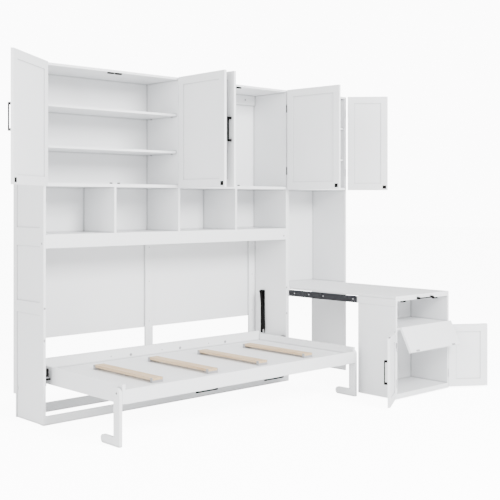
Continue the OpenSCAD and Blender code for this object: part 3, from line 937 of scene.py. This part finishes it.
@dataclass
class Deck:
    """The bed deck: screws in its boards and slats, and the trim of its outer face."""

    frame: Frame
    slats: int = 4
    slat_w: float = 72 * MM
    slat_screw_r: float = 3.5 * MM
    slat_screw_h: float = 1.0 * MM
    slat_screw_in: float = 12 * MM
    board_t: float = 20 * MM
    bolt_share: float = 0.55
    bolt_down: float = 45 * MM
    bolt_r: float = 4 * MM
    bolt_h: float = 1.2 * MM
    cover_along: float = 160 * MM
    cover_down: float = 50 * MM
    cover_r: float = 10 * MM
    cover_h: float = 1.5 * MM
    cap_front_in: float = 100 * MM
    cap_back_in: float = 60 * MM
    cap_up: float = 30 * MM
    cap_down: float = 25 * MM
    cap_r: float = 5 * MM
    cap_h: float = 0.7 * MM
    trim_w: float = 50 * MM
    trim_t: float = 3 * MM
    trim_round: float = 0.8 * MM

    def slat_run(self) -> Span:
        """Find how the slats are spaced.

        Returns:
            The X of the first slat's middle, and the step from slat to slat.
        """
        low, high = self.frame.box("deck_slats")
        step = (high.x - low.x - self.slat_w) / (self.slats - 1)
        return low.x + self.slat_w / 2, step

    def slat_screws(self) -> None:
        """Put a screw in each end of each slat."""
        maker = MeshMaker("slat_screws")
        low, high = self.frame.box("deck_slats")
        first, step = self.slat_run()
        for i in range(self.slats):
            for y in (low.y + self.slat_screw_in, high.y - self.slat_screw_in):
                place = (first + i * step, y, high.z)
                maker.screw_head(place, UP, self.slat_screw_r, self.slat_screw_h)
        maker.finish("deck", Slot.GREY, self.frame.palette)

    def rail_bolts(self) -> None:
        """Put bolts and their round covers on the rear rail's inner face, between the slats."""
        maker = MeshMaker("rear_rail_bolts")
        rail = self.frame.high("deck_end_rails")
        face = rail.y - self.board_t
        first, step = self.slat_run()
        for i in range(self.slats - 1):
            x = first + (i + self.bolt_share) * step
            bolt = (x, face, rail.z - self.bolt_down)
            cover = (x + self.cover_along, face, rail.z - self.cover_down)
            maker.screw_head(bolt, FRONT, self.bolt_r, self.bolt_h)
            maker.screw_head(cover, FRONT, self.cover_r, self.cover_h)
        maker.finish("deck", Slot.GREY, self.frame.palette)

    def board_caps(self) -> None:
        """Put cover caps along the side boards' outer faces."""
        maker = MeshMaker("deck_cover_caps")
        low, high = self.frame.box("deck_side_boards")
        for side in Side:
            for y in (low.y + self.cap_front_in, (low.y + high.y) / 2, high.y - self.cap_back_in):
                for z in (low.z + self.cap_up, high.z - self.cap_down):
                    place = (side.face(low, high), y, z)
                    maker.screw_head(place, side.normal, self.cap_r, self.cap_h)
        maker.finish("deck", Slot.BOARD, self.frame.palette)

    def face_trim(self) -> None:
        """Frame the deck's outer face with flat mouldings, as on the doors."""
        maker = MeshMaker("deck_face_mouldings")
        low, high = self.frame.box("deck_end_rails")
        middle = (low.x + high.x) / 2
        wide, top, under = self.trim_w, low.z, low.z - self.trim_t
        front, back = low.y + wide, high.y - wide
        for x0, x1 in ((low.x, middle), (middle, high.x)):
            for y0, y1 in ((low.y, front), (back, high.y)):
                maker.slab((x0, y0, under), (x1, y1, top), self.trim_round)
            for x in (x0, x1 - wide):
                maker.slab((x, front, under), (x + wide, back, top), self.trim_round)
        maker.finish("deck", Slot.BOARD, self.frame.palette)

    def build(self) -> None:
        """Build all of the deck's small pieces."""
        self.slat_screws()
        self.rail_bolts()
        self.board_caps()
        self.face_trim()


@dataclass
class SlideLook:
    """The raised ridges and the screws of the desk's slides."""

    frame: Frame
    ridge_h: float = 3.5 * MM
    ridge_t: float = 0.35 * MM
    ridge_in: float = 2 * MM
    ridge_round: float = 0.1 * MM
    screw_r: float = 4.2 * MM
    screw_h: float = 0.4 * MM
    rear_shares: Span = (0.36, 0.79)
    front_shares: Span = (0.1, 0.93)

    def member(self, node: str, shares: Span) -> None:
        """Dress one pair of members, which has a body of its own name.

        Args:
            node: The members' node.
            shares: Where its screws are, as shares of its length from the front.
        """
        low, high = self.frame.box(node)
        ridges = MeshMaker(node + "_ridges")
        screws = MeshMaker(node + "_screws")
        y0, y1 = low.y + self.ridge_in, high.y - self.ridge_in
        for side in Side:
            face = side.face(low, high)
            x0, x1 = sorted((face, face + side.value * self.ridge_t))
            for z in (low.z + self.ridge_in, high.z - self.ridge_in - self.ridge_h):
                ridges.slab((x0, y0, z), (x1, y1, z + self.ridge_h), self.ridge_round)
            for share in shares:
                place = (face, low.y + (high.y - low.y) * share, self.frame.middle_z(node))
                screws.screw_head(place, side.normal, self.screw_r, self.screw_h)
        ridges.finish(node, Slot.SLIDE, self.frame.palette)
        screws.finish(node, Slot.ROD, self.frame.palette)

    def build(self) -> None:
        """Dress the members that show."""
        self.member("slide_rear_members", self.rear_shares)
        self.member("slide_front_members", self.front_shares)


@dataclass
class Chest:
    """The desk chest: cover caps, the flap's hinges and strikes, and the leaves' hinges."""

    frame: Frame
    side_t: float = 16 * MM
    cap_r: float = 5 * MM
    cap_h: float = 0.7 * MM
    cap_front_in: float = 40 * MM
    cap_back_in: float = 50 * MM
    cap_z: tuple[float, ...] = (0.04, 0.502, 0.70)
    flap_h: float = 188 * MM
    flap_t: float = 18 * MM
    flap_open: float = 152.0
    flap_shares: Span = (0.14, 0.86)
    flap_plate_half: float = 18 * MM
    flap_plate_in: float = 3 * MM
    flap_strike_t: float = 0.9 * MM
    flap_strike_in: Span = (13 * MM, 1 * MM)
    side_leaf_up: float = 104 * MM
    side_leaf_half: float = 30 * MM
    side_leaf_t: float = 1 * MM
    side_leaf_in: Span = (4 * MM, 14 * MM)
    seam_shares: tuple[float, ...] = (0.15, 0.5, 0.85)
    seam_hinge_half: float = 20 * MM
    seam_hinge_in: Span = (1 * MM, 28 * MM)
    seam_hinge_t: float = 0.12 * MM
    seam_hinge_sunk: float = 0.4 * MM

    def caps(self) -> None:
        """Put cover caps on the chest's sides."""
        maker = MeshMaker("chest_cover_caps")
        low, high = self.frame.box("chest_back_panel")
        front = self.frame.low("chest_boards").y
        for y in (front + self.cap_front_in, high.y - self.cap_back_in):
            for z in self.cap_z:
                for side in Side:
                    x = side.face(low, high) + side.value * self.side_t
                    maker.screw_head((x, y, z), side.normal, self.cap_r, self.cap_h)
        maker.finish("chest", Slot.BOARD, self.frame.palette)

    def flap_hardware(self) -> None:
        """Put hinge leaves on the flap's pivot edge, and two strikes by its free edge."""
        _, axis_y, axis_z = self.frame.joint("flap_hinge")["pos_m"]
        low, high = self.frame.box("chest_flap")
        turn = Matrix.Rotation(math.radians(self.flap_open), 4, "X")
        place = Matrix.Translation((0, axis_y, axis_z)) @ turn
        leaves = MeshMaker("flap_hinge_leaves")
        strikes = MeshMaker("flap_strikes")
        inset, outer = self.flap_plate_in, self.flap_t
        strike_low, strike_high = (self.flap_h - down for down in self.flap_strike_in)
        for share in self.flap_shares:
            x = low.x + (high.x - low.x) * share
            x0, x1 = x - self.flap_plate_half, x + self.flap_plate_half
            leaves.slab((x0, inset, -LEAF_T), (x1, outer - inset, LEAF_SUNK), LEAF_ROUND)
            strikes.slab(
                (x0, outer - STRIKE_SUNK, strike_low),
                (x1, outer + self.flap_strike_t, strike_high),
                STRIKE_ROUND,
            )
        for maker, slot in ((leaves, Slot.ROD), (strikes, Slot.GREY)):
            maker.move(place)
            maker.finish("chest_flap", slot, self.frame.palette)

    def side_leaves(self) -> None:
        """Put the doors' hinge leaves on the front edges of the chest's sides."""
        maker = MeshMaker("chest_side_leaves")
        front = self.frame.low("chest_boards").y
        sides_low, sides_high = self.frame.box("chest_sides")
        door_low, door_high = self.frame.box("chest_left_door")
        for side in Side:
            face = side.face(sides_low, sides_high)
            x0, x1 = sorted(face - side.value * inset for inset in self.side_leaf_in)
            for z in (door_low.z + self.side_leaf_up, door_high.z - self.side_leaf_up):
                maker.slab(
                    (x0, front - self.side_leaf_t, z - self.side_leaf_half),
                    (x1, front + LEAF_SUNK, z + self.side_leaf_half),
                    LEAF_ROUND,
                )
        maker.finish("chest", Slot.ROD, self.frame.palette)

    def seam_hinges(self) -> None:
        """Put flat hinges under the seam of the desk's leaves, half on each leaf."""
        rear_low, rear_high = self.frame.box("rear_leaf")
        seam = self.frame.high("front_leaf").y
        near, far = self.seam_hinge_in
        half = self.seam_hinge_half
        under, above = rear_low.z - self.seam_hinge_t, rear_low.z + self.seam_hinge_sunk
        for name, body, y0, y1 in (
            ("rear_leaf_hinges", "rear_leaf", rear_low.y + near, rear_low.y + far),
            ("front_leaf_hinges", "front_leaf", seam - far, seam - near),
        ):
            maker = MeshMaker(name)
            for share in self.seam_shares:
                x = rear_low.x + (rear_high.x - rear_low.x) * share
                maker.slab((x - half, y0, under), (x + half, y1, above))
            maker.finish(body, Slot.ROD, self.frame.palette)

    def build(self) -> None:
        """Build all of the chest's small pieces."""
        self.caps()
        self.flap_hardware()
        self.side_leaves()
        self.seam_hinges()


# ---------------------------------------------------------------- studio


@dataclass(frozen=True)
class Lamp:
    """One soft square light: its place, what it looks at, its width and its power in watts."""

    name: str
    place: Point
    target: Point
    size: float
    power: float

    def hang(self) -> None:
        """Put the light in the scene."""
        data = bpy.data.lights.new(self.name, "AREA")
        data.size = self.size
        data.energy = self.power
        obj = bpy.data.objects.new(self.name, data)
        obj.location = self.place
        look = Vector(self.target) - Vector(self.place)
        obj.rotation_euler = look.to_track_quat("-Z", "Y").to_euler()
        bpy.context.scene.collection.objects.link(obj)


@dataclass
class Studio:
    """The floor, the lights and the camera."""

    camera_at: Point = (-3.926, -5.331, 1.392)
    camera_yaw_deg: float = -45.27
    lens_mm: float = 66.87
    sensor_mm: float = 36.0
    shift: Span = (-0.1476, -0.0938)
    sight: float = 60.0
    world_strength: float = 1.5
    backdrop_strength: float = 14.0
    floor_reach: float = 40.0
    floor_colour: Colour = (0.93, 0.93, 0.93)
    floor_rough: float = 0.7
    floor_glow: float = 9.0
    floor_bounce: float = 0.35
    lamps: tuple[Lamp, ...] = (
        Lamp("key", (0.5, -6.5, 4.2), (0.4, 0.0, 1.0), 2.2, 1050.0),
        Lamp("fill", (-6.0, -2.5, 3.0), (0.2, 0.0, 1.0), 3.5, 380.0),
    )

    def camera(self) -> None:
        """Put the camera where the photograph was taken from."""
        data = bpy.data.cameras.new("camera")
        data.lens = self.lens_mm
        data.sensor_width = self.sensor_mm
        data.sensor_fit = "HORIZONTAL"
        data.shift_x, data.shift_y = self.shift
        data.clip_end = self.sight
        obj = bpy.data.objects.new("camera", data)
        obj.location = self.camera_at
        obj.rotation_euler = (math.radians(90), 0.0, math.radians(self.camera_yaw_deg))
        bpy.context.scene.collection.objects.link(obj)
        bpy.context.scene.camera = obj

    def floor_material(self) -> bpy.types.Material:
        """Make the floor's pale finish, which looks brighter to the camera than it lights.

        Returns:
            The new material.
        """
        material = bpy.data.materials.new("pale_floor")
        material.use_nodes = True
        tree = material.node_tree
        shader = tree.nodes["Principled BSDF"]
        shader.inputs["Base Color"].default_value = (*self.floor_colour, 1.0)
        shader.inputs["Roughness"].default_value = self.floor_rough
        shader.inputs["Emission Color"].default_value = WHITE
        path = tree.nodes.new("ShaderNodeLightPath")
        glow = tree.nodes.new("ShaderNodeMath")
        glow.operation = "MULTIPLY_ADD"
        glow.inputs[1].default_value = self.floor_glow
        glow.inputs[2].default_value = self.floor_bounce
        tree.links.new(path.outputs["Is Camera Ray"], glow.inputs[0])
        tree.links.new(glow.outputs["Value"], shader.inputs["Emission Strength"])
        return material

    def floor(self) -> None:
        """Lay a pale floor, large enough to reach past the picture."""
        mesh = bpy.data.meshes.new("floor")
        far = self.floor_reach
        corners = [(-far, -far, 0), (far, -far, 0), (far, far, 0), (-far, far, 0)]
        mesh.from_pydata(corners, [], [(0, 1, 2, 3)])
        mesh.materials.append(self.floor_material())
        obj = bpy.data.objects.new("floor", mesh)
        bpy.context.scene.collection.objects.link(obj)

    def surroundings(self) -> None:
        """Light the object evenly from all round, and show the camera a brighter white."""
        world = bpy.data.worlds.new("studio")
        world.use_nodes = True
        tree = world.node_tree
        ambient = tree.nodes["Background"]
        ambient.inputs["Color"].default_value = WHITE
        ambient.inputs["Strength"].default_value = self.world_strength
        path = tree.nodes.new("ShaderNodeLightPath")
        backdrop = tree.nodes.new("ShaderNodeBackground")
        backdrop.inputs["Strength"].default_value = self.backdrop_strength
        mix = tree.nodes.new("ShaderNodeMixShader")
        tree.links.new(path.outputs["Is Camera Ray"], mix.inputs["Fac"])
        tree.links.new(ambient.outputs["Background"], mix.inputs[1])
        tree.links.new(backdrop.outputs["Background"], mix.inputs[2])
        tree.links.new(mix.outputs["Shader"], tree.nodes["World Output"].inputs["Surface"])
        bpy.context.scene.world = world

    def build(self) -> None:
        """Set up the whole studio."""
        self.surroundings()
        self.floor()
        for lamp in self.lamps:
            lamp.hang()
        self.camera()


def doors(frame: Frame) -> Iterable[Door]:
    """List the doors that carry hinge leaves.

    Args:
        frame: The loaded frame.

    Returns:
        The doors of the hutch, which at rest stand as far open as they go, and of the chest.
    """
    for i in HUTCH_DOORS:
        hinge = f"door_{i}_hinge"
        closed = frame.joint(hinge)["range_deg"][0]
        yield Door(frame, f"door_{i}", hinge, -closed)
    for side, turn in CHEST_TURNS:
        yield ChestDoor(frame, f"chest_{side}_door", f"chest_{side}_hinge", turn)


def main() -> None:
    """Build every piece in order."""
    logging.basicConfig(level=logging.INFO, format="%(name)s: %(message)s")
    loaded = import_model()
    frame = Frame(loaded["nodes"], loaded["record"], Palette())
    Studio().build()
    Boards(frame).build()
    Cabinet(frame).build()
    for door in doors(frame):
        door.build()
    Deck(frame).build()
    SlideLook(frame).build()
    Chest(frame).build()
    bpy.context.view_layer.update()


if __name__ == "__main__":
    main()
